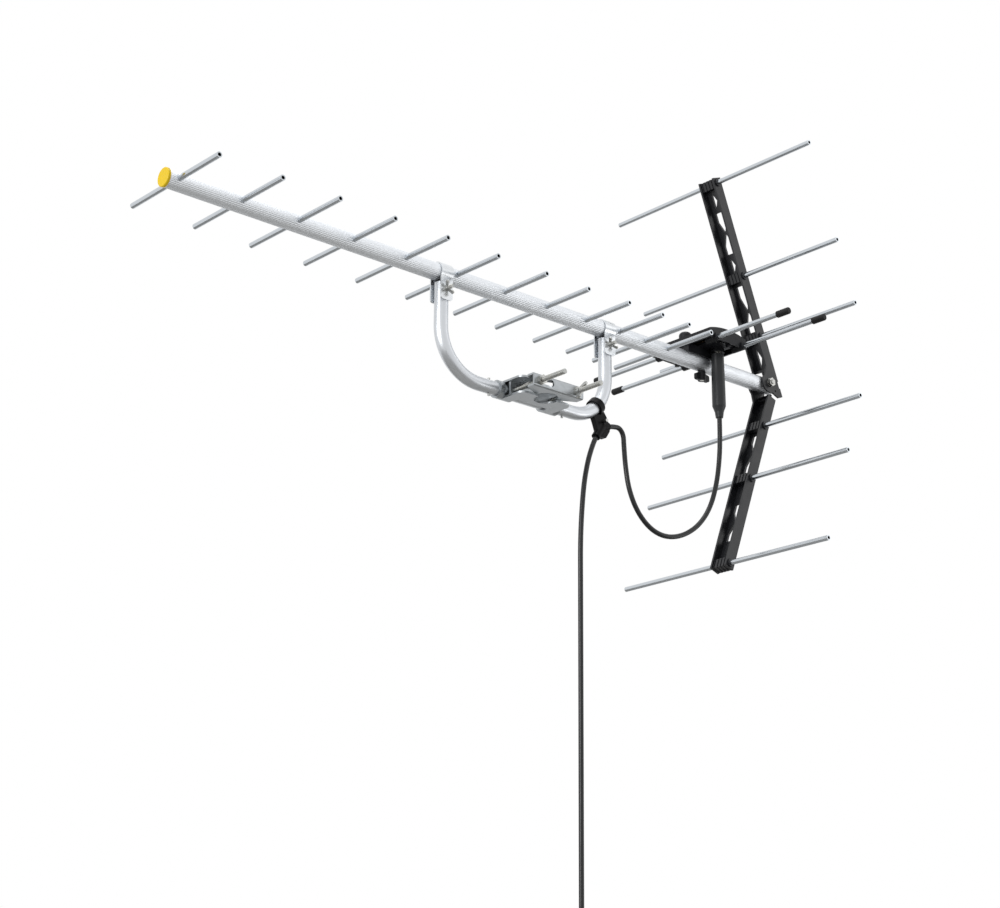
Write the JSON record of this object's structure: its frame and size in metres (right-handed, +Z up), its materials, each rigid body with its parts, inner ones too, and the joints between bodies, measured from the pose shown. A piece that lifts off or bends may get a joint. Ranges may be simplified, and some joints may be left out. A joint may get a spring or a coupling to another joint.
{
  "type": "uhf television antenna",
  "caption": "Directional UHF television antenna: boom with rod directors, dipole box with coaxial lead, folding rod reflector, bent stay arm and a screw clamp for a round mast.",
  "frame": {"origin": "on the mast's axis in the middle of the mast clamp, level with the stay arm's bottom run", "axes": "+X along the boom towards the front directors, +Y from the boom across to the mast, +Z up along the mast"},
  "size_m": [0.924, 0.358, 1.0169],
  "materials": {
    "boom_aluminium": "bright anodised, fine lengthwise flutes",
    "cap_yellow": "moulded, semi-gloss",
    "element_aluminium": "drawn tube, satin",
    "stay_aluminium": "satin anodised tube",
    "strap_steel": "pressed sheet, zinc plated",
    "zinc_steel": "zinc plated, slightly warm",
    "galvanised_steel": "galvanised, dull",
    "box_plastic": "black weatherproof moulding",
    "board_laminate": "bare laminate",
    "tip_rubber": "black, matte",
    "arm_plastic": "black weatherproof moulding",
    "boot_rubber": "dark grey, matte",
    "plug_metal": "nickel plated",
    "lead_sheath": "dark grey sheath, semi-gloss"
  },
  "bodies": {
    "antenna": {"boom": "boom_aluminium", "boom_front_cap": "cap_yellow", "director_01": "element_aluminium", "director_02": "element_aluminium", "director_03": "element_aluminium", "director_04": "element_aluminium", "director_05": "element_aluminium", "director_06": "element_aluminium", "director_07": "element_aluminium", "director_08": "element_aluminium", "director_09": "element_aluminium", "director_10": "element_aluminium", "director_11": "element_aluminium", "director_12": "element_aluminium", "front_left_dipole_rod": "element_aluminium", "front_right_dipole_rod": "element_aluminium", "rear_left_dipole_rod": "element_aluminium", "rear_right_dipole_rod": "element_aluminium", "stay_arm": "stay_aluminium", "front_boom_clamp": "strap_steel", "rear_boom_clamp": "strap_steel", "front_clamp_bolt": "zinc_steel", "rear_clamp_bolt": "zinc_steel", "front_clamp_wing_nut": "zinc_steel", "rear_clamp_wing_nut": "zinc_steel", "front_mast_bolt": "zinc_steel", "rear_mast_bolt": "zinc_steel", "mast_hex_nut": "zinc_steel", "mast_wing_nut": "zinc_steel", "pivot_bolt": "zinc_steel", "pivot_nut": "zinc_steel", "stay_pins": "zinc_steel", "housing_bolt": "zinc_steel", "clip_screw": "zinc_steel", "mast_bracket": "galvanised_steel", "anchor_plate": "galvanised_steel", "mast_saddle": "galvanised_steel", "dipole_housing": "box_plastic", "housing_floor": "box_plastic", "housing_knob": "box_plastic", "cable_clip": "box_plastic", "matching_board": "board_laminate", "front_left_rod_tip": "tip_rubber", "front_right_rod_tip": "tip_rubber", "rear_left_rod_tip": "tip_rubber", "rear_right_rod_tip": "tip_rubber", "connector_boot": "boot_rubber", "coax_jack": "plug_metal", "coax_plug": "plug_metal", "coax_loop": "lead_sheath", "coax_drop": "lead_sheath"},
    "upper_reflector": {"upper_reflector_arm": "arm_plastic", "reflector_rod_1": "element_aluminium", "reflector_rod_2": "element_aluminium", "reflector_rod_3": "element_aluminium"},
    "lower_reflector": {"lower_reflector_arm": "arm_plastic", "reflector_rod_4": "element_aluminium", "reflector_rod_5": "element_aluminium", "reflector_rod_6": "element_aluminium"}
  },
  "joints": [
    {"name": "upper_reflector_fold", "type": "hinge", "parent": "antenna", "child": "upper_reflector", "pos_m": [-0.41, -0.033, 0.1165], "axis": [0, 1, 0], "range_deg": [0, 50]},
    {"name": "lower_reflector_fold", "type": "hinge", "parent": "antenna", "child": "lower_reflector", "pos_m": [-0.41, -0.033, 0.1165], "axis": [0, 1, 0], "range_deg": [-11, 0]}
  ]
}
